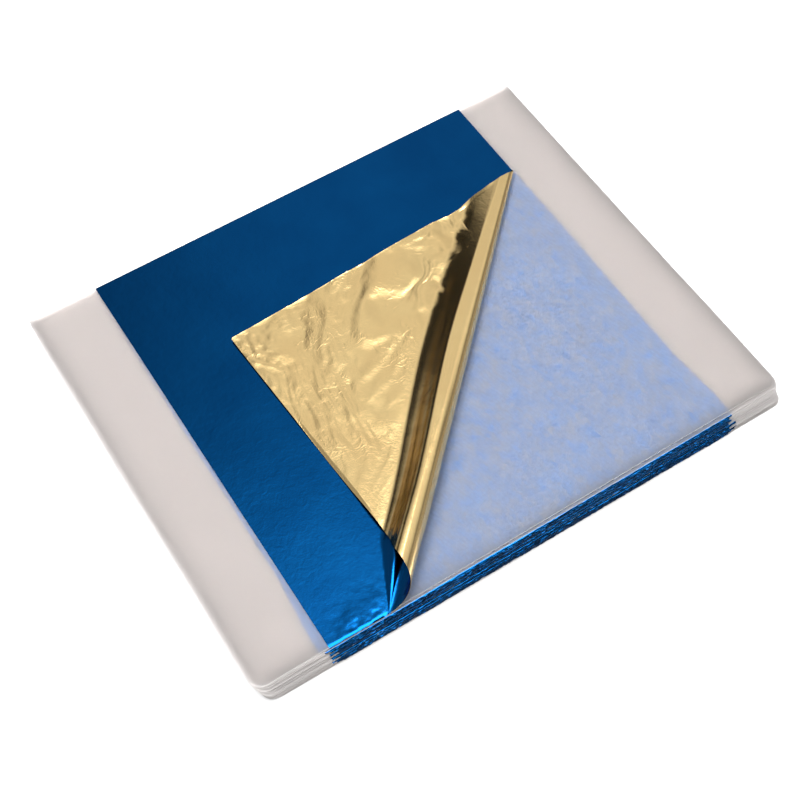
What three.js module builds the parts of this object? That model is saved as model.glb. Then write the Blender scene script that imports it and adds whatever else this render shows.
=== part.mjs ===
import * as THREE from "three";

const { degToRad, lerp, clamp, smoothstep } = THREE.MathUtils;

// The pack, in millimetres: leaves and tissue interleaves laid one on the other, an interleaf at the bottom.
const leafCount = 25;
const leafWidth = 80;
const leafDepth = 85;
const leafThickness = 0.1;
// Air between a leaf and the interleaf that lies on it, so that sheets slide past each other.
const sheetClearance = 0.01;
// The paper is as deep as the leaf, and shows beside it on the left and on the right.
const leftMargin = 13.5;
const rightMargin = 11.5;
const paperWidth = leafWidth + leftMargin + rightMargin;
const paperDepth = leafDepth;
const paperThickness = 0.14;
const paperCornerRadius = 2.2;
// The leaves lie a little to the right of the paper's middle.
const leafOffset = (leftMargin - rightMargin) / 2;
// The pile leans: its bottom sheet lies this far to the right of the top one.
const packLean = 1.5;
// How far a sheet strays from the lean, each way.
const strayAcross = 0.2;
const strayDeep = 0.15;

// The top leaf's turned-back corner. The crease starts on the front edge and ends on the right edge.
const creaseFront = 0.14 * leafWidth;
const creaseSide = 0.786 * leafDepth;
// The curl narrows towards a point that lies this far past the crease's back end.
const apexBeyond = 36;
// Seen from there, the corner mirrors its flat place about a ray this far from the crease.
const mirrorAngle = degToRad(2.45);
// How steeply the curl comes down again, and its landing bend's radius over the curl's, at its two ends.
const slopeBack = degToRad(24);
const slopeFront = degToRad(74);
const landingBack = 2.5;
const landingFront = 0.5;
// Air between the corner and the leaf under it, and at the two lines where the bend is divided.
const cornerClearance = 0.3;
const bendClearance = 0.3;
const curlRaise = 0.03;
// Facets round the curl and along it, and the share of the way round at which it counts as landed.
const curlStepCount = 40;
const curlRowCount = 10;
const landedShare = 1.01;

// Colours
const paper = new THREE.MeshStandardMaterial({ color: 0xd8d0cc, roughness: 0.9, metalness: 0 });
const blueLeaf = new THREE.MeshStandardMaterial({ color: 0x0a5fa8, roughness: 0.35, metalness: 1 });
const goldUnderside = new THREE.MeshStandardMaterial({ color: 0xd8b878, roughness: 0.3, metalness: 1 });

const pack = new THREE.Group();
pack.name = "leaf_pack";

function add(name, geometry, material, x, y, z) {
  const mesh = new THREE.Mesh(geometry, material);
  mesh.name = name;
  mesh.position.set(x, y, z);
  pack.add(mesh);
}

function slab(shape, thickness) {
  return new THREE.ExtrudeGeometry(shape, { depth: thickness, bevelEnabled: false, curveSegments: 6 });
}

// A sheet of paper: square back corners, and front corners worn round.
function paperShape() {
  const halfWidth = paperWidth / 2;
  const halfDepth = paperDepth / 2;
  const radius = paperCornerRadius;
  const shape = new THREE.Shape();
  shape.moveTo(-halfWidth, halfDepth);
  shape.lineTo(-halfWidth, radius - halfDepth);
  shape.absarc(radius - halfWidth, radius - halfDepth, radius, Math.PI, 1.5 * Math.PI);
  shape.lineTo(halfWidth - radius, -halfDepth);
  shape.absarc(halfWidth - radius, radius - halfDepth, radius, 1.5 * Math.PI, 2 * Math.PI);
  shape.lineTo(halfWidth, halfDepth);
  return shape;
}

function polygonShape(points) {
  return new THREE.Shape(points.map((point) => new THREE.Vector2(point.x, point.y)));
}

// The crease in the leaf's own plan, measured from the leaf's middle.
const frontRight = new THREE.Vector2(leafWidth / 2, -leafDepth / 2);
const creaseStart = new THREE.Vector2(creaseFront - leafWidth / 2, -leafDepth / 2);
const creaseEnd = new THREE.Vector2(leafWidth / 2, creaseSide - leafDepth / 2);
const along = creaseEnd.clone().sub(creaseStart).normalize();
const outward = new THREE.Vector2(along.y, -along.x);
const apex = creaseEnd.clone().addScaledVector(along, apexBeyond);
const apexToFront = apex.distanceTo(creaseStart);

// The curl's section at a distance from the apex, in radii of the curl. The radius is an angle at the apex.
function curlSection(distance) {
  const share = clamp((distance - apexBeyond) / (apexToFront - apexBeyond), 0, 1);
  const slope = lerp(slopeBack, slopeFront, share);
  const landing = lerp(landingBack, landingFront, share);
  const descent = (1 + Math.cos(slope) - landing * (1 - Math.cos(slope))) / Math.sin(slope);
  const length = Math.PI + slope + descent + landing * slope;
  const reach = (1 + landing) * Math.sin(slope) + descent * Math.cos(slope);
  return { slope, landing, descent, length, radius: (2 * mirrorAngle) / (length - reach) };
}

// The section as a line: up and over in an arc, straight down the slope, a reverse bend, then flat again.
function sectionPoint(travel, { slope, landing, descent }) {
  const topX = -Math.sin(slope);
  const topZ = 1 + Math.cos(slope);
  const footX = topX - descent * Math.cos(slope);
  const arc = Math.PI + slope;
  if (travel <= 0) return [travel, 0];
  if (travel <= arc) return [Math.sin(travel), 1 - Math.cos(travel)];
  const down = travel - arc;
  if (down <= descent) return [topX - down * Math.cos(slope), topZ - down * Math.sin(slope)];
  const left = slope - (down - descent) / landing;
  if (left <= 0) return [footX - landing * Math.sin(slope) + landing * left, 0];
  return [footX - landing * (Math.sin(slope) - Math.sin(left)), landing * (1 - Math.cos(left))];
}

function polar(flat) {
  const fromApex = flat.clone().sub(apex);
  const angle = Math.atan2(fromApex.dot(outward), -fromApex.dot(along));
  return { distance: fromApex.length(), angle };
}

// How far a flat point is along the curl: 0 at the crease, 1 where the corner lies flat.
function curlShare(flat) {
  const { distance, angle } = polar(flat);
  const { length, radius } = curlSection(distance);
  return angle / (length * radius);
}

// Where a point of the flat leaf comes to lie, measured from the leaf's middle plane.
function folded(flat) {
  const { distance, angle } = polar(flat);
  const section = curlSection(distance);
  const [across, up] = sectionPoint(angle / section.radius, section);
  const turn = across * section.radius;
  const rise = up * section.radius;
  const landed = smoothstep(angle / (section.length * section.radius), 0, 1);
  const lift = (leafThickness + cornerClearance) * landed;
  const plan = apex.clone();
  plan.addScaledVector(along, -distance * Math.cos(rise) * Math.cos(turn));
  plan.addScaledVector(outward, distance * Math.cos(rise) * Math.sin(turn));
  return new THREE.Vector3(plan.x, plan.y, distance * Math.sin(rise) + lift);
}

// The point of an edge, between the crease and the leaf's corner, where the curl has landed.
function landingPoint(edgeStart) {
  let low = 0;
  let high = 1;
  for (let i = 0; i < 40; i += 1) {
    const middle = (low + high) / 2;
    const landed = curlShare(edgeStart.clone().lerp(frontRight, middle)) >= landedShare;
    if (landed) high = middle;
    else low = middle;
  }
  return edgeStart.clone().lerp(frontRight, high);
}

const landingStart = landingPoint(creaseStart);
const landingEnd = landingPoint(creaseEnd);

// A thin solid on a grid of points, with its thickness laid half to each side.
function thickGrid(pointAt, rows, columns, thickness) {
  const positions = [];
  const index = [];
  const size = (rows + 1) * (columns + 1);
  const small = 1e-4;
  for (const side of [1, -1]) {
    for (let i = 0; i <= rows; i += 1) {
      for (let j = 0; j <= columns; j += 1) {
        const u = i / rows;
        const v = j / columns;
        const du = pointAt(u + small, v).sub(pointAt(u - small, v));
        const dv = pointAt(u, v + small).sub(pointAt(u, v - small));
        const normal = du.cross(dv).normalize();
        const point = pointAt(u, v).addScaledVector(normal, (side * thickness) / 2);
        positions.push(point.x, point.y, point.z);
      }
    }
  }
  const at = (i, j) => i * (columns + 1) + j;
  for (let i = 0; i < rows; i += 1) {
    for (let j = 0; j < columns; j += 1) {
      const [a, b, c, d] = [at(i, j), at(i + 1, j), at(i + 1, j + 1), at(i, j + 1)];
      index.push(a, b, c, a, c, d);
      index.push(size + a, size + c, size + b, size + a, size + d, size + c);
    }
  }
  const rim = [];
  for (let i = 0; i < rows; i += 1) rim.push(at(i, 0));
  for (let j = 0; j < columns; j += 1) rim.push(at(rows, j));
  for (let i = rows; i > 0; i -= 1) rim.push(at(i, columns));
  for (let j = columns; j > 0; j -= 1) rim.push(at(0, j));
  rim.forEach((a, k) => {
    const b = rim[(k + 1) % rim.length];
    index.push(a, size + a, size + b, a, size + b, b);
  });
  const geometry = new THREE.BufferGeometry();
  geometry.setAttribute("position", new THREE.Float32BufferAttribute(positions, 3));
  geometry.setIndex(index);
  geometry.computeVertexNormals();
  return geometry;
}

// A point of an edge moved on towards the leaf's corner, to open the clearance across the bend.
function past(point) {
  const towardsCorner = frontRight.clone().sub(point).normalize();
  return point.clone().addScaledVector(towardsCorner, bendClearance / towardsCorner.dot(outward));
}

function curlGeometry() {
  const frontFrom = past(creaseStart);
  const sideFrom = past(creaseEnd);
  const pointAt = (u, v) => {
    const front = frontFrom.clone().lerp(landingStart, u);
    const side = sideFrom.clone().lerp(landingEnd, u);
    return folded(front.lerp(side, v));
  };
  return thickGrid(pointAt, curlStepCount, curlRowCount, leafThickness);
}

// The part of the top leaf that still lies flat, and its corner, turned over.
const flatPart = [
  new THREE.Vector2(-leafWidth / 2, leafDepth / 2),
  new THREE.Vector2(-leafWidth / 2, -leafDepth / 2),
  creaseStart,
  creaseEnd,
  new THREE.Vector2(leafWidth / 2, leafDepth / 2),
];
const turnedPart = [past(landingStart), past(landingEnd), frontRight].map(folded);

const leafShape = polygonShape([
  new THREE.Vector2(-leafWidth / 2, -leafDepth / 2),
  frontRight,
  new THREE.Vector2(leafWidth / 2, leafDepth / 2),
  new THREE.Vector2(-leafWidth / 2, leafDepth / 2),
]);

for (let i = 0; i < leafCount; i += 1) {
  const number = String(i + 1).padStart(2, "0");
  const lean = packLean * (i / (leafCount - 1) - 0.5);
  const paperX = lean + strayAcross * Math.sin(2.4 * i);
  const paperY = strayDeep * Math.sin(4.1 * i);
  const paperZ = (leafCount - 1 - i) * (paperThickness + leafThickness + sheetClearance);
  const leafX = lean + leafOffset + strayAcross * Math.sin(3.3 * i);
  const leafY = strayDeep * Math.sin(1.7 * i);
  const leafZ = paperZ + paperThickness;
  add(`interleaf_${number}`, slab(paperShape(), paperThickness), paper, paperX, paperY, paperZ);
  if (i > 0) {
    add(`leaf_${number}`, slab(leafShape, leafThickness), blueLeaf, leafX, leafY, leafZ);
  } else {
    const middle = leafZ + leafThickness / 2;
    const cornerZ = leafZ + leafThickness + cornerClearance;
    add(`leaf_${number}`, slab(polygonShape(flatPart), leafThickness), blueLeaf, leafX, leafY, leafZ);
    add(`leaf_${number}_curl`, curlGeometry(), goldUnderside, leafX, leafY, middle + curlRaise);
    const cornerSlab = slab(polygonShape(turnedPart), leafThickness);
    add(`leaf_${number}_corner`, cornerSlab, goldUnderside, leafX, leafY, cornerZ);
  }
}

export default pack;
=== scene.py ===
import math

import bpy
import numpy as np
from mathutils import Matrix


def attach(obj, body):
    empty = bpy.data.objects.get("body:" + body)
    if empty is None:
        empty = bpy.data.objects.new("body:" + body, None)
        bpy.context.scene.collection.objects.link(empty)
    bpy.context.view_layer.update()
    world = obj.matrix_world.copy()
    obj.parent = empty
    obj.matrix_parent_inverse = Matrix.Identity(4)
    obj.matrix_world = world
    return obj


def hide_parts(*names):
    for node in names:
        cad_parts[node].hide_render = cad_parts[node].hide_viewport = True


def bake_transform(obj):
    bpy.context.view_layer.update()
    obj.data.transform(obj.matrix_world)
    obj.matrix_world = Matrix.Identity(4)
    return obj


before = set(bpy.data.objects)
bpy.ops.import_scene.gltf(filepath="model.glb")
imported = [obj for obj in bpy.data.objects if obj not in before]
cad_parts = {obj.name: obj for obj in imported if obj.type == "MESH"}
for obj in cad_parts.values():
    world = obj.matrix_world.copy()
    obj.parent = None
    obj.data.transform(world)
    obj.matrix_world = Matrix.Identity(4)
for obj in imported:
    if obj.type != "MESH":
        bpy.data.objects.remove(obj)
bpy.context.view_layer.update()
scene = bpy.context.scene

# Sheets are worked out in millimetres along the frame's axes, the studio in metres. Meshes are in metres.
millimetre = 0.001
uvPerMillimetre = 0.01

pack = {"count": 25, "pitch": 0.25, "paperHeight": 0.14, "lean": 1.5, "strayAcross": 0.2, "strayDeep": 0.15,
        "leafOffset": 1.0}


# An eased step from 0 at low to 1 at high; low may be the larger of the two.
def smooth(value, low, high):
    share = np.clip((value - low) / (high - low), 0, 1)
    return share * share * (3 - 2 * share)


# A repeatable random share for each lattice point, from a sine hash.
def latticeShare(x, y, seed):
    wave = np.sin(x * 127.1 + y * 311.7 + seed * 74.7) * 43758.5453
    return wave - np.floor(wave)


# Gradient noise: every lattice point gets a random direction, and the four dot products are blended.
def gradientNoise(x, y, seed):
    cellX, cellY = np.floor(x), np.floor(y)
    partX, partY = x - cellX, y - cellY

    def corner(stepX, stepY):
        angle = 2 * np.pi * latticeShare(cellX + stepX, cellY + stepY, seed)
        return np.cos(angle) * (partX - stepX) + np.sin(angle) * (partY - stepY)

    fadeX = partX ** 3 * (partX * (partX * 6 - 15) + 10)
    fadeY = partY ** 3 * (partY * (partY * 6 - 15) + 10)
    front = corner(0, 0) * (1 - fadeX) + corner(1, 0) * fadeX
    back = corner(0, 1) * (1 - fadeX) + corner(1, 1) * fadeX
    return 1.4 * (front * (1 - fadeY) + back * fadeY)


# Octaves of gradient noise, each twice as fine and half as strong. Ridged turns its zero lines into sharp
# crests.
def cloudNoise(x, y, seed, octaves, ridged=False):
    total, strength = 0, 1.0
    for octave in range(octaves):
        layer = gradientNoise(x * 2 ** octave, y * 2 ** octave, seed + 13 * octave)
        total = total + strength * ((0.5 - np.abs(layer)) if ridged else layer)
        strength *= 0.5
    return total


# Random heights on a triangular lattice, joined by flat facets with sharp creases.
def facetNoise(x, y, seed):
    skew = (x + y) * 0.366025
    cellX, cellY = np.floor(x + skew), np.floor(y + skew)
    partX, partY = x + skew - cellX, y + skew - cellY

    def height(stepX, stepY):
        return 2 * latticeShare(cellX + stepX, cellY + stepY, seed) - 1

    near, far, right, left = height(0, 0), height(1, 1), height(1, 0), height(0, 1)
    return np.where(partX > partY, near + partX * (right - near) + partY * (far - right),
                    near + partY * (left - near) + partX * (far - left))


# A second row of points a hair inside each edge of a grid, which keeps smooth shading off the rim.
def edged(grid):
    hair = 0.03

    def doubled(lines):
        first = lines[:1] + (lines[1:2] - lines[:1]) * hair
        last = lines[-1:] + (lines[-2:-1] - lines[-1:]) * hair
        return np.concatenate([lines[:1], first, lines[1:-1], last, lines[-1:]])

    return doubled(doubled(grid).swapaxes(0, 1)).swapaxes(0, 1)


# The upper and lower grid of a level sheet, half a thickness either side of its middle.
def levelFaces(x, y, middle, thickness):
    return [edged(np.stack([x, y, middle + half], -1)) for half in (thickness / 2, -thickness / 2)]


def setPoints(mesh, points):
    mesh.vertices.foreach_set("co", points.astype(np.float32).ravel())


# The points of an upper and a lower grid in one list, in metres.
def solidPoints(upper, lower):
    return np.concatenate([upper.reshape(-1, 3), lower.reshape(-1, 3)]) * millimetre


# A thin closed solid: an upper and a lower grid of points, joined by a rim of flat walls. Rows run so
# that columns cross rows points up; flat holds the sheet's own coordinates, kept as its UV map.
def sheetSolid(name, upper, lower, flat, materials, rimSlot):
    rows, columns = upper.shape[:2]
    count = rows * columns
    at = np.arange(count).reshape(rows, columns)
    quads = np.stack([at[:-1, :-1], at[:-1, 1:], at[1:, 1:], at[1:, :-1]], -1).reshape(-1, 4)
    rim = np.concatenate([at[0, :-1], at[:-1, -1], at[-1, :0:-1], at[:0:-1, 0]])
    ahead = np.roll(rim, -1)
    walls = np.stack([rim, rim + count, ahead + count, ahead], -1)
    faces = np.concatenate([quads, quads[:, ::-1] + count, walls]).astype(np.int32)
    mesh = bpy.data.meshes.new(name)
    mesh.vertices.add(2 * count)
    setPoints(mesh, solidPoints(upper, lower))
    mesh.loops.add(faces.size)
    mesh.loops.foreach_set("vertex_index", faces.ravel())
    mesh.polygons.add(len(faces))
    mesh.polygons.foreach_set("loop_start", np.arange(0, faces.size, 4, dtype=np.int32))
    slots = np.repeat([0, len(materials) - 1, rimSlot], [len(quads), len(quads), len(walls)])
    mesh.polygons.foreach_set("material_index", slots.astype(np.int32))
    mesh.polygons.foreach_set("use_smooth", np.repeat([True, False], [2 * len(quads), len(walls)]))
    mesh.update(calc_edges=True)
    layer = mesh.uv_layers.new(name="flat")
    both = np.concatenate([flat.reshape(-1, 2)] * 2) * uvPerMillimetre
    layer.data.foreach_set("uv", both[faces.ravel()].astype(np.float32).ravel())
    for material in materials:
        mesh.materials.append(material)
    return addObject(mesh)


def addObject(mesh):
    piece = bpy.data.objects.new(mesh.name, mesh)
    scene.collection.objects.link(piece)
    return piece


# A value for each point of a sheet's grid, the same on its upper and lower face, for its material to
# read.
def addMask(piece, name, values):
    mask = piece.data.attributes.new(name, "FLOAT", "POINT")
    mask.data.foreach_set("value", np.concatenate([values.ravel()] * 2).astype(np.float32))


# Node helpers
def addNode(tree, kind, inputs=None, **settings):
    node = tree.nodes.new(kind)
    for key, value in settings.items():
        setattr(node, key, value)
    for key, value in (inputs or {}).items():
        if isinstance(value, bpy.types.NodeSocket):
            tree.links.new(value, node.inputs[key])
        else:
            node.inputs[key].default_value = value
    return node


def newMaterial(name):
    material = bpy.data.materials.new(name)
    material.use_nodes = True
    material.node_tree.nodes.clear()
    return material, material.node_tree


def colourRamp(tree, factor, stops):
    node = addNode(tree, "ShaderNodeValToRGB", {"Fac": factor})
    ramp = node.color_ramp
    while len(ramp.elements) < len(stops):
        ramp.elements.new(0.5)
    for element, (place, colour) in zip(ramp.elements, stops):
        element.position, element.color = place, colour
    return node.outputs["Color"]


def mapRange(tree, value, low, high, first, last, easing="LINEAR"):
    ends = {"Value": value, "From Min": low, "From Max": high, "To Min": first, "To Max": last}
    return addNode(tree, "ShaderNodeMapRange", ends, interpolation_type=easing).outputs["Result"]


def maths(tree, operation, *values, **settings):
    inputs = dict(enumerate(values))
    return addNode(tree, "ShaderNodeMath", inputs, operation=operation, **settings).outputs["Value"]


def noiseTexture(tree, vector, scale, detail, roughness=0.5, distortion=0.0):
    return addNode(tree, "ShaderNodeTexNoise", {"Vector": vector, "Scale": scale, "Detail": detail,
                                                "Roughness": roughness,
                                                "Distortion": distortion}).outputs["Fac"]


def flatPlace(tree):
    return addNode(tree, "ShaderNodeUVMap", uv_map="flat").outputs["UV"]


def maskValue(tree, name):
    return addNode(tree, "ShaderNodeAttribute", attribute_name=name).outputs["Fac"]


foilSkin = {"poreScale": 260.0, "poreDepth": 0.00012, "peelScale": 70.0, "peelDepth": 0.0004,
            "cloudScale": 9.0}


# The foil's own grain, shared by its blue and its gold face: an orange-peel bump of two sizes over the
# flat leaf, and a slow cloud that the faces use to vary their tone.
def foilGrain():
    group = bpy.data.node_groups.new("foilGrain", "ShaderNodeTree")
    for socket in ("Fine", "Broad"):
        entry = group.interface.new_socket(socket, in_out="INPUT", socket_type="NodeSocketFloat")
        entry.default_value = 0.3
    group.interface.new_socket("Normal", in_out="OUTPUT", socket_type="NodeSocketVector")
    group.interface.new_socket("Cloud", in_out="OUTPUT", socket_type="NodeSocketFloat")
    start = addNode(group, "NodeGroupInput")
    flat = flatPlace(group)
    pores = noiseTexture(group, flat, foilSkin["poreScale"], 3.0, roughness=0.6)
    peel = noiseTexture(group, flat, foilSkin["peelScale"], 2.0, distortion=0.6)
    cloud = noiseTexture(group, flat, foilSkin["cloudScale"], 3.0)
    broad = addNode(group, "ShaderNodeBump", {"Height": peel, "Distance": foilSkin["peelDepth"],
                                              "Strength": start.outputs["Broad"]})
    fine = addNode(group, "ShaderNodeBump", {"Height": pores, "Distance": foilSkin["poreDepth"],
                                             "Strength": start.outputs["Fine"],
                                             "Normal": broad.outputs["Normal"]})
    addNode(group, "NodeGroupOutput", {"Normal": fine.outputs["Normal"], "Cloud": cloud})
    return group


# A face of the foil is metal in two tones that the grain's cloud mixes; wrinkled bends its normal
# further.
def makeFoil(name, look, wrinkled=None):
    material, tree = newMaterial(name)
    skin = addNode(tree, "ShaderNodeGroup", {"Fine": look["fine"], "Broad": look["broad"]}, node_tree=grain)
    normal = skin.outputs["Normal"]
    if wrinkled:
        normal = wrinkled(tree, normal)
    tone = colourRamp(tree, skin.outputs["Cloud"], [(0.3, look["dark"]), (0.7, look["light"])])
    shade = addNode(tree, "ShaderNodeBsdfPrincipled", {"Base Color": tone, "Metallic": 1.0,
                                                       "Roughness": look["roughness"], "Normal": normal})
    addNode(tree, "ShaderNodeOutputMaterial", {"Surface": shade.outputs["BSDF"]})
    return material


blueFace = {"dark": (0.0021, 0.066, 0.222, 1), "light": (0.0027, 0.080, 0.258, 1), "roughness": 0.18,
            "fine": 0.10, "broad": 0.06}

goldFace = {"dark": (0.97, 0.69, 0.315, 1), "light": (1.0, 0.735, 0.345, 1), "roughness": 0.17,
            "fine": 0.10, "broad": 0.04, "wrinkleDepth": 0.000024}


# The turned corner has been handled: where the sheet's own mask says so, patches of narrow wrinkles run
# along the middle lines of a noise, over a fine crumple.
def handWrinkles(tree, normal):
    flat = flatPlace(tree)
    offLine = maths(tree, "SUBTRACT", noiseTexture(tree, flat, 30.0, 3.0, distortion=0.9), 0.5)
    lines = mapRange(tree, maths(tree, "ABSOLUTE", offLine), 0.0, 0.06, 0.45, 0.0, "SMOOTHSTEP")
    patches = mapRange(tree, noiseTexture(tree, flat, 12.0, 1.0), 0.46, 0.6, 0.0, 1.0, "SMOOTHSTEP")
    strength = mapRange(tree, noiseTexture(tree, flat, 17.0, 2.0), 0.36, 0.66, 0.2, 0.9, "SMOOTHSTEP")
    crumples = maths(tree, "MULTIPLY", noiseTexture(tree, flat, 62.0, 4.0, distortion=0.5), strength)
    height = maths(tree, "ADD", maths(tree, "MULTIPLY", lines, patches), crumples)
    return addNode(tree, "ShaderNodeBump", {"Height": height, "Distance": goldFace["wrinkleDepth"],
                                            "Strength": maskValue(tree, "handled"),
                                            "Normal": normal}).outputs["Normal"]


# rim is the share of the tone kept along a sheet's cut rim: painted shade on the pile's sides.
tissueLook = {"tone": (0.918, 0.899, 0.891), "rim": 0.8, "through": 0.944, "vary": 0.02, "thick": 0.87,
              "thin": 1.07, "grainTurn": 0.274, "fleckSize": (0.022, 0.035, 1),
              "fibreSize": (0.0045, 0.016, 1), "fibreShare": 0.6, "roughness": 0.75, "gloss": 0.2,
              "bumpDepth": 0.0001, "bump": 0.01}


# Tissue: a little light is scattered back and the rest goes through, dimmed. Its fibres run nearly along
# the sheet's depth, so the noise that thickens and thins it is stretched that way. The sheet's own masks
# say where it lies over foil, which shows the fibres, and where its cut rim is, darkened as painted shade.
def makeTissue():
    look = tissueLook
    material, tree = newMaterial("tissue")
    flat, over, rim = flatPlace(tree), maskValue(tree, "over"), maskValue(tree, "rim")

    def stretched(size):
        turn = (0, 0, look["grainTurn"])
        return addNode(tree, "ShaderNodeMapping", {"Vector": flat, "Rotation": turn, "Scale": size},
                       vector_type="TEXTURE").outputs["Vector"]

    def dimmed(colour, share):
        return addNode(tree, "ShaderNodeVectorMath", {0: colour, "Scale": share},
                       operation="SCALE").outputs["Vector"]

    flecks = noiseTexture(tree, stretched(look["fleckSize"]), 1.0, 4.0, roughness=0.7)
    fibres = noiseTexture(tree, stretched(look["fibreSize"]), 1.0, 2.0)
    mixed = maths(tree, "MULTIPLY_ADD", fibres, look["fibreShare"], flecks)

    def fibrous(plain, low, high):
        varied = mapRange(tree, mixed, 0.6, 1.0, low, high)
        return addNode(tree, "ShaderNodeMix", {"Factor": over, "A": plain, "B": varied}).outputs["Result"]

    share = fibrous(look["through"], look["through"] - look["vary"], look["through"] + look["vary"])
    # Painted shade: the tone darkens to the rim share where the rim mask is high.
    tone = dimmed(look["tone"], mapRange(tree, rim, 0.0, 1.0, 1.0, look["rim"]))
    clear = dimmed(tone, fibrous(1.0, look["thick"], look["thin"]))
    bump = addNode(tree, "ShaderNodeBump", {"Height": mixed, "Distance": look["bumpDepth"],
                                            "Strength": look["bump"]})
    back = addNode(tree, "ShaderNodeBsdfPrincipled", {"Base Color": tone, "Roughness": look["roughness"],
                                                      "Specular IOR Level": look["gloss"],
                                                      "Normal": bump.outputs["Normal"]})
    onward = addNode(tree, "ShaderNodeBsdfTranslucent", {"Color": clear})
    both = addNode(tree, "ShaderNodeMixShader", {0: share, 1: back.outputs["BSDF"],
                                                 2: onward.outputs["BSDF"]})
    addNode(tree, "ShaderNodeOutputMaterial", {"Surface": both.outputs["Shader"]})
    return material


grain = foilGrain()
blue = makeFoil("blue lacquer", blueFace)
gold = makeFoil("gold underside", goldFace, handWrinkles)
tissue = makeTissue()
print("stage: materials made")


# Where sheet number i lies, counted from the top, as the CAD puts it.
def sheetPlace(i):
    lean = pack["lean"] * (i / (pack["count"] - 1) - 0.5)
    floorZ = (pack["count"] - 1 - i) * pack["pitch"]
    paper = (lean + pack["strayAcross"] * math.sin(2.4 * i), pack["strayDeep"] * math.sin(4.1 * i), floorZ)
    leaf = (lean + pack["leafOffset"] + pack["strayAcross"] * math.sin(3.3 * i),
            pack["strayDeep"] * math.sin(1.7 * i), floorZ + pack["paperHeight"])
    return paper, leaf


# How far a sheet's front edge lies back: lower sheets stand out more, and sheets stray in small groups,
# which draws the lines along the pile's front. The top tissue lies back and askew, so that the next one
# shows past it.
def frontStray(i, across):
    seed = 3
    group = 0.06 * math.sin(1.55 * i + 0.4) + 0.03 * math.sin(0.47 * i + 2.0)
    forward = 0.1 + 0.4 * i / (pack["count"] - 1)
    turn = 0.001 * math.sin(5.3 * i + seed)
    if i == 0:
        group, turn = 0.36, 0.0065
    return group - forward + turn * across + 0.06 * gradientNoise(across / 21.0 + 3.7 * i, 0.37 * i, seed)


paperSheet = {"halfWidth": 52.5, "halfDepth": 42.5, "radius": 2.2, "thickness": 0.09, "columns": 53,
              "rows": 31, "edgeStray": 0.12, "backStep": 0.3, "topLift": 0.04, "overHalf": 40.5,
              "overFade": 1.5}


# An interleaf: front edge at the front stray, front corners cut back along a quarter circle, upper and
# lower faces a thickness apart.
def makePaper(i):
    size = paperSheet
    (placeX, placeY, placeZ), _ = sheetPlace(i)
    leafX = sheetPlace(i + 1)[1][0]
    turn = np.radians(np.linspace(90, 12, 6))
    inner = size["halfWidth"] - size["radius"]
    side = inner + size["radius"] * np.sin(turn)
    across = np.concatenate([-side, np.linspace(-inner, inner, size["columns"]), side[::-1]])
    past = np.clip(np.abs(across) - inner, 0, None)
    cut = size["radius"] - np.sqrt(np.clip(size["radius"] ** 2 - past ** 2, 0, None))
    front = -size["halfDepth"] + cut + frontStray(i, across)
    back = size["halfDepth"] - size["backStep"] * min(i, 2)
    back = back + size["edgeStray"] * gradientNoise(across / 25.0 + 1.9 * i, 0.51 * i, 8)
    deep = np.linspace(0, 1, size["rows"])[:, None] ** 1.7
    y = front * (1 - deep) + back * deep
    x = across[None, :] + size["edgeStray"] * gradientNoise(y / 23.0 + 5.3 * i, 0.7 * i, 11)
    flat = np.stack([x + 17.0 * i, y + 29.0 * i], -1)
    # Painted shade: rim rises near the front and side edges, where the tissue's tone is darkened as shade.
    rim = np.exp(-np.minimum(y - front, size["halfWidth"] - np.abs(across)))
    over = smooth(size["overHalf"] - np.abs(x + placeX - leafX), 0.0, size["overFade"])
    over = over * smooth(y - front, 0.0, 1.0)
    middle = np.full_like(x, placeZ + pack["paperHeight"] / 2 + (size["topLift"] if i == 0 else 0.0))
    upper, lower = levelFaces(x + placeX, y + placeY, middle, size["thickness"])
    name = f"interleaf_{i + 1:02d}"
    piece = sheetSolid(f"{name}_tissue", upper, lower, edged(flat), [tissue], 0)
    addMask(piece, "rim", edged(rim))
    addMask(piece, "over", edged(over))
    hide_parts(name)
    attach(piece, name)
    return piece


leafSheet = {"halfWidth": 40.0, "halfDepth": 42.5, "thickness": 0.03, "middle": 0.055, "columns": 481,
             "rows": (0, 0.03, 0.06, 0.1, 0.15, 0.2, 0.5, 3.0, 15.0, 45.0, 84.3, 85.0), "backGap": 0.8,
             "overhang": 0.2, "groupSetback": 0.17, "crimp": 0.05, "firstOverhang": 0.12, "firstCrimp": 0.04,
             "leftReach": {1: 1.0, 2: 0.5}, "lip": 0.2, "lipDrop": 0.125, "lipVary": 0.075}


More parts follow.
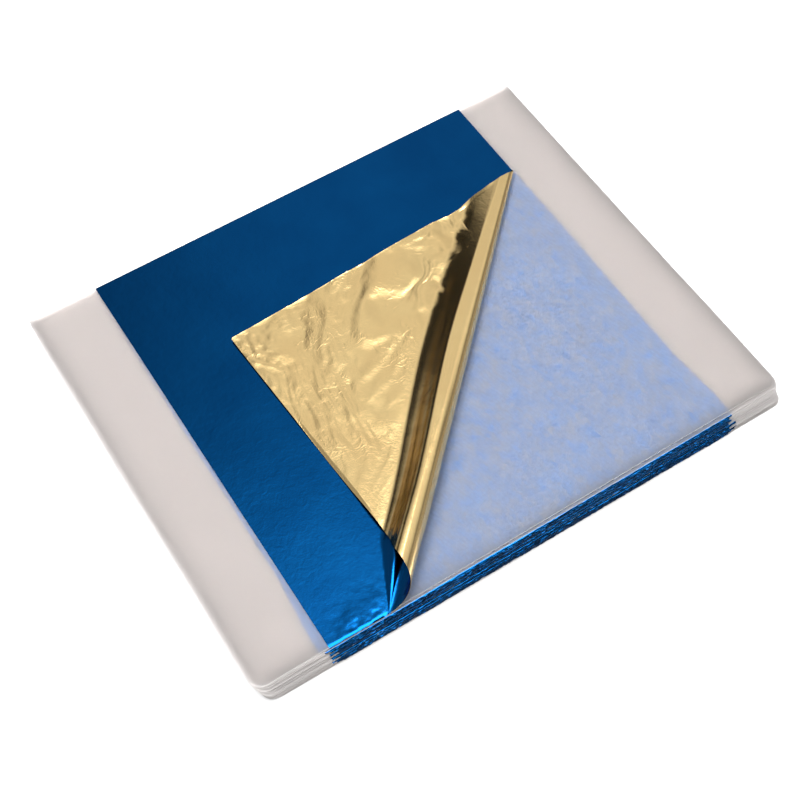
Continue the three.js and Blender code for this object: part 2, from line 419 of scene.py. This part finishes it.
# A leaf inside the pile: a flat sheet whose cut front edge stands a hair past the tissue, bends down
# steeply in a lip and is crimped into small facets; its sides are ragged and its front corners uneven.
# The lip stays above the next leaf, which can be drawn out under it. The first of them follows the top
# tissue's front edge.
def makeLeaf(i):
    size = leafSheet
    _, (placeX, placeY, placeZ) = sheetPlace(i)
    across = np.linspace(-size["halfWidth"], size["halfWidth"], size["columns"])
    crimp = facetNoise(across / 0.55 + 11.0 * i, 0.61 * i, 21)
    crimp = crimp + gradientNoise(across / 2.6 + 7.0 * i, 0.23 * i, 22)
    if i == 1:
        stray, overhang, depth = frontStray(0, across), size["firstOverhang"], size["firstCrimp"]
    else:
        setback = size["groupSetback"] * max(0.0, math.sin(1.55 * i + 0.4)) ** 2 * (1 - i / 30)
        stray, overhang, depth = frontStray(i, across), size["overhang"] - setback, size["crimp"]
    edge = -size["halfDepth"] - overhang + stray + depth * crimp
    inset = np.array(size["rows"])[:, None]
    y = edge + inset * (size["halfDepth"] - size["backGap"] - edge) / size["rows"][-1]
    ragged = 0.5 * gradientNoise(y / 4.5, 0.83 * i, 31) + 0.2 * gradientNoise(y / 1.3, 1.9 * i, 32)
    ragged = ragged + 1.1 * math.sin(7.3 * i) * smooth(-y, 36.0, 42.5)
    x = across[None, :] + ragged * np.sign(across) * smooth(np.abs(across), 36.0, 40.0)
    x = x - size["leftReach"].get(i, 0.0) * smooth(-across, 30.0, 40.0) * smooth(-y, -30.0, 25.0)
    flat = np.stack([x + 23.0 * i, y + 31.0 * i], -1)
    lip = np.clip(1 - inset / size["lip"], 0, 1) ** 1.4
    drop = lip * (size["lipDrop"] + size["lipVary"] * facetNoise(across / 0.45 + 5.0 * i, 0.47 * i, 23))
    middle = placeZ + size["middle"] - drop
    upper, lower = levelFaces(x + placeX, y + placeY, middle, size["thickness"])
    name = f"leaf_{i + 1:02d}"
    piece = sheetSolid(f"{name}_foil", upper, lower, edged(flat), [blue, gold], 0)
    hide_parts(name)
    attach(piece, name)
    return piece


papers = [makePaper(i) for i in range(pack["count"])]
leaves = [makeLeaf(i) for i in range(1, pack["count"])]
print("stage: pile made,", len(papers), "interleaves and", len(leaves), "leaves")

topLeaf = {"halfWidth": 40.0, "halfDepth": 42.5, "thickness": 0.03, "creaseFront": 11.2, "creaseSide": 66.81,
           "apexBeyond": 36.0, "mirror": math.radians(2.45), "slopeBack": math.radians(20),
           "slopeFront": math.radians(65), "bend": 0.7, "landingBack": 2.5, "landingFront": 0.5, "lift": 0.5,
           "jag": 2.0, "fanFoot": (-6.0, -45.5), "flapStart": (0.98, 1.15), "turnStart": 0.17,
           "shift": (0.25, -0.15, 6.195), "hingePlace": (4.2493, -16.0121, 6.4),
           "hingeSide": (0.726686, -0.68697, 0), "flatRows": 36, "curlRows": 80, "flapRows": 84,
           "columns": 235}

frontRight = np.array([topLeaf["halfWidth"], -topLeaf["halfDepth"]])
creaseStart = np.array([topLeaf["creaseFront"] - topLeaf["halfWidth"], -topLeaf["halfDepth"]])
creaseEnd = np.array([topLeaf["halfWidth"], topLeaf["creaseSide"] - topLeaf["halfDepth"]])
creaseLength = float(np.hypot(*(creaseEnd - creaseStart)))
along = (creaseEnd - creaseStart) / creaseLength
outward = np.array([along[1], -along[0]])
apex = creaseEnd + topLeaf["apexBeyond"] * along


# The fold: seen from the apex, the leaf runs up in an arc, over a level crown, round a tight bend,
# straight down a slope, round a reverse bend and flat again, with the curl's radius an angle at the apex.
# The slope's back part is jagged. Gives the place, the blue face's normal, and the share of the way round
# the curl.
def folded(flat):
    fromApex = flat - apex
    distance = np.hypot(fromApex[..., 0], fromApex[..., 1])
    angle = np.arctan2(fromApex @ outward, -(fromApex @ along))
    share = np.clip((distance - topLeaf["apexBeyond"]) / creaseLength, 0, 1)
    slope = topLeaf["slopeBack"] + (topLeaf["slopeFront"] - topLeaf["slopeBack"]) * share
    crown, bend = 1 - smooth(share, 0.38, 0.8), topLeaf["bend"]
    landing = topLeaf["landingBack"] + (topLeaf["landingFront"] - topLeaf["landingBack"]) * share
    sine, cosine = np.sin(slope), np.cos(slope)
    descent = (2 - (bend + landing) * (1 - cosine)) / sine
    length = np.pi + crown + bend * slope + descent + landing * slope
    radius = 2 * topLeaf["mirror"] / (length - crown - (bend + landing) * sine - descent * cosine)
    travel = angle / radius
    jag = topLeaf["jag"] * smooth(share, 0.42, 0.34) * smooth(share, 0.07, 0.13)
    jag = jag * smooth(travel / length, 0.55, 0.8) * facetNoise(share * 19.0, travel * 0.25, 60)
    travel = travel + jag * (1 - smooth(travel / length, 1.0, 1.5))
    top, arc = np.pi + crown, np.pi + crown + bend * slope
    over, down = (travel - top) / bend, travel - arc
    left = slope - (down - descent) / landing
    footX = -crown - bend * sine - descent * cosine
    zones = [travel <= 0, travel <= np.pi, travel <= top, travel <= arc, down <= descent, left > 0]
    across = np.select(zones, [travel, np.sin(travel), np.pi - travel, -crown - bend * np.sin(over),
                               -crown - bend * sine - down * cosine, footX - landing * (sine - np.sin(left))],
                       footX - landing * sine + landing * left)
    up = np.select(zones, [0 * travel, 1 - np.cos(travel), 2 + 0 * travel, 2 - bend * (1 - np.cos(over)),
                           2 - bend * (1 - cosine) - down * sine, landing * (1 - np.cos(left))], 0.0)
    heading = np.select(zones, [0 * travel, travel, np.pi + 0 * travel, np.pi + over, np.pi + slope,
                                np.pi + left], np.pi)
    turn, rise = across * radius, up * radius
    way = -np.cos(turn)[..., None] * along + np.sin(turn)[..., None] * outward
    side = np.sin(turn)[..., None] * along + np.cos(turn)[..., None] * outward
    gone = travel / length
    plan = apex + (distance * np.cos(rise))[..., None] * way
    height = distance * np.sin(rise) + topLeaf["lift"] * smooth(gone, 0, 1)
    place = np.concatenate([plan, height[..., None]], -1)
    normal = np.concatenate([-np.sin(heading)[..., None] * side, np.cos(heading)[..., None]], -1)
    return place, normal, gone


# Distances of the top leaf's flat points from its right edge, its front edge and the foot of the corner's
# folds.
def fromEdges(x, y):
    footX, footY = topLeaf["fanFoot"]
    return topLeaf["halfWidth"] - x, y + topLeaf["halfDepth"], np.hypot(x - footX, y - footY)


# Flat points moved about by a noise, so that the facets laid on them don't line up.
def warped(x, y):
    return x + 1.2 * gradientNoise(x / 6.0, y / 6.0, 51), y + 1.2 * gradientNoise(x / 6.0, y / 6.0, 52)


def onFlap(gone):
    return smooth(gone, *topLeaf["flapStart"])


cornerRelief = {"folds": 0.0037, "sideTurn": 0.06, "footBow": 0.75, "frontBow": 0.15, "rimTurn": 0.5}


# The turned corner's crumples: soft folds that fan out from their foot, small creases and facets that
# grow towards its tip and edges, a side edge that turns up, and a front edge that bows up near the curl
# and turns down at its rim.
def crumpleCorner(x, y, gone):
    fromSide, fromFront, fromFoot = fromEdges(x, y)
    footX, footY = topLeaf["fanFoot"]
    fan = np.arctan2(y - footY, x - footX)
    warpX, warpY = warped(x, y)
    flap = onFlap(gone)
    bend = gradientNoise(x / 19.0, y / 19.0, 41)
    sway = gradientNoise(x / 9.0, y / 9.0, 63)
    folds = cloudNoise(fan * 7.5 + 0.9 * bend + 0.7 * sway, fromFoot / 17.0 + bend, 42, 3)
    tipShare = np.clip(1 - np.hypot(fromSide, fromFront) / 32.0, 0, 1)
    edgeShare = np.exp(-fromSide / 4.0) + 0.5 * np.exp(-fromFront / 2.0)
    away = smooth(fromFoot, 16.0, 32.0)
    creases = cloudNoise(warpX / 5.0, warpY / 5.0, 43, 2, True)
    small = facetNoise(warpX / 1.5, warpY / 1.5, 53) + 0.5 * facetNoise(x / 0.8, y / 0.8, 56)
    patches = smooth(gradientNoise(x / 8.0, y / 8.0, 57), 0.0, 0.35)
    creased = (0.004 + 0.022 * away + 0.03 * tipShare + 0.03 * edgeShare) * creases
    faceted = (0.001 + 0.008 * patches * away + 0.008 * tipShare + 0.016 * edgeShare) * small
    height = flap * (cornerRelief["folds"] * fromFoot * folds + creased + faceted)
    height = height + flap * cornerRelief["sideTurn"] * np.exp(-fromSide / 0.4)
    nearFoot = np.clip(1 - fromFoot / 22.0, 0, None) ** 2
    height = height + smooth(gone, 0.75, 1.1) * cornerRelief["footBow"] * nearFoot
    free = smooth(x - footX, 0.5, 8.0) * (1 - smooth(x - footX, 15.0, 27.0)) * smooth(gone, 0.95, 1.1)
    bow = cornerRelief["frontBow"] * np.exp(-fromFront / 18.0)
    return height + free * (bow - cornerRelief["rimTurn"] * (1 - smooth(fromFront, 0.0, 0.55)))


curlRelief = {"facets": 0.2, "smallFacets": 0.06, "stripes": 0.13, "crownLines": 0.03, "sideTurn": 0.2,
              "waves": 0.015}


# The curl's crumples: flat facets at the back of the slope, stripes along its front part, fine lines
# along the crown, a side edge that turns up, and slight waves.
def crumpleCurl(x, y, gone, inner, fromCrease):
    fromSide, _, _ = fromEdges(x, y)
    back = smooth(inner, 0.6, 0.68) * (1 - smooth(inner, 0.84, 0.9)) * smooth(gone, 0.74, 0.88)
    back = back * (1 - smooth(gone, 1.02, 1.25))
    facets = curlRelief["facets"] * facetNoise(x / 4.0, y / 4.0, 44)
    facets = facets + curlRelief["smallFacets"] * facetNoise(x / 1.8, y / 1.8, 54)
    slope = smooth(gone, 0.5, 0.56) * (1 - smooth(gone, 0.9, 0.97)) * (1 - smooth(inner, 0.5, 0.72))
    stripes = curlRelief["stripes"] * facetNoise(gone * 9.0, inner * 0.5, 61)
    crown = smooth(gone, 0.34, 0.38) * (1 - smooth(gone, 0.49, 0.53)) * smooth(inner, 0.02, 0.1)
    lines = curlRelief["crownLines"] * facetNoise(gone * 22.0, inner * 0.4, 64)
    over = (1 - onFlap(gone)) * smooth(gone, 0.5, 0.62)
    sideTurn = curlRelief["sideTurn"] * np.clip(0.8 - fromSide, 0, None)
    curl = smooth(gone, 0.02, 0.1) * (1 - smooth(gone, 0.85, 1.0))
    waves = curlRelief["waves"] * cloudNoise(inner * 24.0, fromCrease / 9.0, 49, 2)
    return back * facets + slope * stripes + crown * lines + over * sideTurn + curl * waves


frontRelief = {"pleats": 0.09, "pleatVary": 0.02, "ruffles": 0.10, "smallRuffles": 0.06, "waves": 0.02,
               "lip": 0.18, "lipReach": 0.5}


# The flat part's crumples: pleats that fan out from the crease's front end, a ruffled strip along the
# front edge, slight waves all over, and a front lip that bends down.
def crumpleFront(x, y, gone):
    _, fromFront, _ = fromEdges(x, y)
    warpX, warpY = warped(x, y)
    fromStart = np.hypot(x - creaseStart[0], fromFront)
    around = np.arctan2(fromFront, x - creaseStart[0])
    pinch = smooth(around, 1.1, 0.97) * (1 - 0.4 * smooth(around, 0.88, 0.82))
    pinch = pinch * (1 - smooth(gone, 0.05, 0.35)) * fromStart * (1 - smooth(fromStart, 11.0, 17.0))
    pleats = frontRelief["pleats"] + frontRelief["pleatVary"] * facetNoise(around * 14.0, fromStart / 9.0, 58)
    strip = (1 - smooth(gone, -0.2, 0.0)) * np.exp(-fromFront / 3.6) * smooth(x, -41.0, -34.0)
    ruffles = frontRelief["ruffles"] * (1 + facetNoise(warpX / 2.0, warpY / 2.0, 47))
    ruffles = ruffles + frontRelief["smallRuffles"] * (1 + facetNoise(x / 0.8, y / 0.8, 55))
    rest = 1 - smooth(gone, -0.05, 0.0)
    waves = frontRelief["waves"] * (cloudNoise(x / 11.0, y / 11.0, 48, 2) + 0.4)
    lip = frontRelief["lip"] * np.clip(1 - fromFront / frontRelief["lipReach"], 0, 1) ** 1.7
    return rest * (lip - waves) - pinch * pleats - strip * ruffles


# All crumples of the foil over its flat coordinates, as a height on the gold side.
def crumple(flat, gone):
    x, y = flat[..., 0], flat[..., 1]
    inner = (flat - creaseStart) @ along / creaseLength
    fromCrease = (flat - creaseStart) @ outward
    return crumpleCorner(x, y, gone) + crumpleCurl(x, y, gone, inner, fromCrease) + crumpleFront(x, y, gone)


# The top leaf's grid of flat points, which runs from the left and back edges over the crease to the
# corner's tip.
def topLeafGrid():
    size = topLeaf
    column = np.linspace(0, 1, size["columns"])[None, :, None]
    column = column - 0.5 * np.sin(2 * np.pi * column) / (2 * np.pi)
    backRight = np.array([size["halfWidth"], size["halfDepth"]])
    backLeft = np.array([-size["halfWidth"], size["halfDepth"]])
    frontLeft = np.array([-size["halfWidth"], -size["halfDepth"]])
    outer = np.where(column < 0.5, backRight + (backLeft - backRight) * 2 * column,
                     backLeft + (frontLeft - backLeft) * (2 * column - 1))
    crease = creaseEnd + (creaseStart - creaseEnd) * column
    step = 1 - (1 - np.linspace(0, 1, size["flatRows"], endpoint=False)[:, None, None]) ** 1.6
    flatPart = outer + (crease - outer) * step
    reach = np.concatenate([np.linspace(0, 0.37, size["curlRows"], endpoint=False),
                            np.linspace(0.37, 0.997, size["flapRows"])])[:, None, None]
    turnedPart = crease + (frontRight - crease) * reach
    return edged(np.concatenate([flatPart, turnedPart]))


# The top leaf is one sheet. From a row low on the curl on, each point gets the share of half a turn
# that it stands round the hinge line. The mesh is first laid out by that share, eased, along X, and then
# gets its folded form.
def makeTopLeaf():
    size = topLeaf
    flat = topLeafGrid()
    place, normal, gone = folded(flat)
    middle = place - normal * crumple(flat, gone)[..., None] + np.array(size["shift"])
    upper = middle + normal * size["thickness"] / 2
    lower = middle - normal * size["thickness"] / 2
    fromHinge = middle - np.array(size["hingePlace"])
    angle = np.arctan2(fromHinge[..., 2], fromHinge @ np.array(size["hingeSide"]))
    angle = np.where(angle < -np.pi / 2, np.pi, np.clip(angle, 0, np.pi))
    turning = np.median(gone, axis=1) > size["turnStart"]
    share = np.where(turning[:, None], angle / np.pi, 0.0)
    laidOut = 0.5 - np.sin(np.arcsin(1 - 2 * share) / 3)
    piece = sheetSolid("leaf_01_foil", upper, lower, flat, [blue, gold], 1)
    _, _, fromFoot = fromEdges(flat[..., 0], flat[..., 1])
    addMask(piece, "handled", onFlap(gone) * smooth(fromFoot, 8.0, 22.0))
    points = solidPoints(upper, lower)
    layout = np.zeros_like(points)
    layout[:, 0] = np.concatenate([laidOut.ravel()] * 2)
    setPoints(piece.data, layout)
    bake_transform(piece)
    setPoints(piece.data, points)
    piece.data.update()
    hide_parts("leaf_01", "leaf_01_curl", "leaf_01_corner")
    return piece


turnedLeaf = makeTopLeaf()
print("stage: top leaf made")

ground = {"half": 3.0, "height": -0.00005, "paint": (0.5, 0.5, 0.5, 1), "near": 0.25, "far": 1.0,
          "nearGlow": 0.12, "farGlow": 0.6}


# A pale floor that keeps its shadow; seen directly it glows a little, more so far from the lamps.
def makeFloor():
    half, height = ground["half"], ground["height"]
    mesh = bpy.data.meshes.new("floor")
    corners = [(-half, -half), (half, -half), (half, half), (-half, half)]
    mesh.from_pydata([(x, y, height) for x, y in corners], [], [(0, 1, 2, 3)])
    material, tree = newMaterial("floor")
    paint = addNode(tree, "ShaderNodeBsdfDiffuse", {"Color": ground["paint"]})
    spot = addNode(tree, "ShaderNodeTexCoord").outputs["Object"]
    away = addNode(tree, "ShaderNodeVectorMath", {0: spot}, operation="LENGTH").outputs["Value"]
    level = mapRange(tree, away, ground["near"], ground["far"], ground["nearGlow"], ground["farGlow"])
    glow = addNode(tree, "ShaderNodeEmission", {"Color": (1, 1, 1, 1), "Strength": level})
    rays = addNode(tree, "ShaderNodeLightPath").outputs
    direct = maths(tree, "ADD", rays["Is Camera Ray"], rays["Is Glossy Ray"])
    direct = maths(tree, "ADD", direct, rays["Is Transmission Ray"], use_clamp=True)
    seen = addNode(tree, "ShaderNodeMixShader", {0: direct, 2: glow.outputs["Emission"]})
    both = addNode(tree, "ShaderNodeAddShader", {0: paint.outputs["BSDF"], 1: seen.outputs["Shader"]})
    addNode(tree, "ShaderNodeOutputMaterial", {"Surface": both.outputs["Shader"]})
    mesh.materials.append(material)
    addObject(mesh)


ring = {"radius": 0.6, "height": 3.4, "skirt": 0.072, "foot": 0.0003, "points": 121,
        "room": ((0, 0.6), (40, 0.62), (47, 0.67), (51, 0.67), (55, 0.61), (58, 0.60), (60, 0.66), (62, 0.92),
                 (64, 1.38), (67, 1.7), (70, 1.9)),
        "right": ((0, 0.35), (14, 0.35), (20, 0.2), (26, 0.2), (33, 0.5), (44, 0.78), (55, 0.85), (64, 1.4),
                  (70, 1.9)),
        "rightSector": (50, 72, 122, 140), "backSector": (-21, -13, 2, 11), "backTop": (45, 52),
        "backGrey": (0.02, 0.02, 0.02, 1), "frontSector": (138, 150, 176, 179.9), "frontTop": (54, 70),
        "frontGrey": (0.08, 0.08, 0.08, 1), "shades": ((2, 26, 0.6, 1.12), (25, 40, 1.0, 0.85))}


# The ring is an upright cylinder round the pack, with a flat skirt inside it, that only reflections see:
# a grey room that grades into bright light overhead. It is darker to the left of the back, has a dark
# patch low behind and one low in front, and a shaded side on the right. Bearings are degrees from +Y
# towards +X, and each grade goes by degrees of elevation.
def makeRing():
    count = ring["points"]
    turn = np.radians(np.linspace(0, 360, count))
    level = np.array([ring["foot"], ring["foot"], ring["height"]])[:, None]
    away = np.array([ring["skirt"], ring["radius"], ring["radius"]])[:, None]
    x, y = away * np.sin(turn)[None, :], away * np.cos(turn)[None, :]
    points = np.stack([x, y, level + 0 * x], -1).reshape(-1, 3)
    at = np.arange(3 * count).reshape(3, count)
    faces = np.stack([at[:-1, 1:], at[:-1, :-1], at[1:, :-1], at[1:, 1:]], -1).reshape(-1, 4)
    mesh = bpy.data.meshes.new("dark ring")
    mesh.from_pydata(points.tolist(), [], faces.tolist())
    material, tree = newMaterial("dark ring")
    spot = addNode(tree, "ShaderNodeTexCoord").outputs["Object"]
    parts = addNode(tree, "ShaderNodeSeparateXYZ", {"Vector": spot}).outputs
    rise = maths(tree, "ARCTAN2", parts["Z"], ring["radius"])
    elevation = maths(tree, "DIVIDE", rise, math.pi / 2)
    bearing = maths(tree, "ARCTAN2", parts["X"], parts["Y"])

    def graded(stops):
        return colourRamp(tree, elevation, [(degrees / 90, (grey, grey, grey, 1)) for degrees, grey in stops])

    def acrossBearing(low, high, first, last):
        return mapRange(tree, bearing, math.radians(low), math.radians(high), first, last, "SMOOTHSTEP")

    def sector(start, full, wane, end):
        rising, falling = acrossBearing(start, full, 0.0, 1.0), acrossBearing(wane, end, 1.0, 0.0)
        return maths(tree, "MULTIPLY", rising, falling)

    def below(full, end):
        return mapRange(tree, elevation, full / 90, end / 90, 1.0, 0.0, "SMOOTHSTEP")

    def mixed(share, first, second):
        return addNode(tree, "ShaderNodeMix", {0: share, 6: first, 7: second}, data_type="RGBA").outputs[2]

    lit = mixed(sector(*ring["rightSector"]), graded(ring["room"]), graded(ring["right"]))
    for patch in ("back", "front"):
        share = maths(tree, "MULTIPLY", sector(*ring[f"{patch}Sector"]), below(*ring[f"{patch}Top"]))
        lit = mixed(share, lit, ring[f"{patch}Grey"])
    slant = maths(tree, "MULTIPLY", *[acrossBearing(*shade) for shade in ring["shades"]])
    glow = addNode(tree, "ShaderNodeEmission", {"Color": lit, "Strength": slant})
    addNode(tree, "ShaderNodeOutputMaterial", {"Surface": glow.outputs["Emission"]})
    mesh.materials.append(material)
    piece = addObject(mesh)
    for kind in ("camera", "diffuse", "transmission", "shadow", "volume_scatter"):
        setattr(piece, f"visible_{kind}", False)


studio = {"world": 1.0, "keyPower": 10.5, "keySize": 0.6, "keyPlace": (0.12, -0.1, 0.9),
          "sidePower": 15.3, "sideSize": 0.5, "sidePlace": (-0.22, 0.16, 0.82)}


# A white surround, a key lamp, and a lamp from the far left that gives no reflection of itself.
def makeLight():
    world = bpy.data.worlds.new("studio")
    scene.world = world
    world.use_nodes = True
    surround = world.node_tree.nodes["Background"].inputs
    surround["Color"].default_value = (1, 1, 1, 1)
    surround["Strength"].default_value = studio["world"]
    for name in ("key", "side"):
        data = bpy.data.lights.new(name, "AREA")
        data.energy, data.size = studio[f"{name}Power"], studio[f"{name}Size"]
        lamp = bpy.data.objects.new(name, data)
        lamp.location = studio[f"{name}Place"]
        lamp.visible_glossy = name == "key"
        scene.collection.objects.link(lamp)


# The camera's place is in millimetres; right, up and ahead are its axes.
camera = {"place": (-77.15, -137.4, 238.0), "right": (0.8476, -0.5297, -0.0314),
          "up": (0.462, 0.7076, 0.5347), "ahead": (0.261, 0.4677, -0.8445), "lens": 70.6, "sensor": 36.0,
          "nearest": 0.005, "farthest": 20.0}


def makeCamera():
    data = bpy.data.cameras.new("camera")
    data.lens, data.sensor_width = camera["lens"], camera["sensor"]
    data.clip_start, data.clip_end = camera["nearest"], camera["farthest"]
    eye = bpy.data.objects.new("camera", data)
    behind = [-part for part in camera["ahead"]]
    place = [part * millimetre for part in camera["place"]]
    rows = zip(camera["right"], camera["up"], behind, place)
    eye.matrix_world = Matrix([list(row) for row in rows] + [[0, 0, 0, 1]])
    scene.collection.objects.link(eye)
    scene.camera = eye


makeFloor()
makeRing()
makeLight()
makeCamera()
scene.view_settings.view_transform = "Standard"
print("stage: studio set")
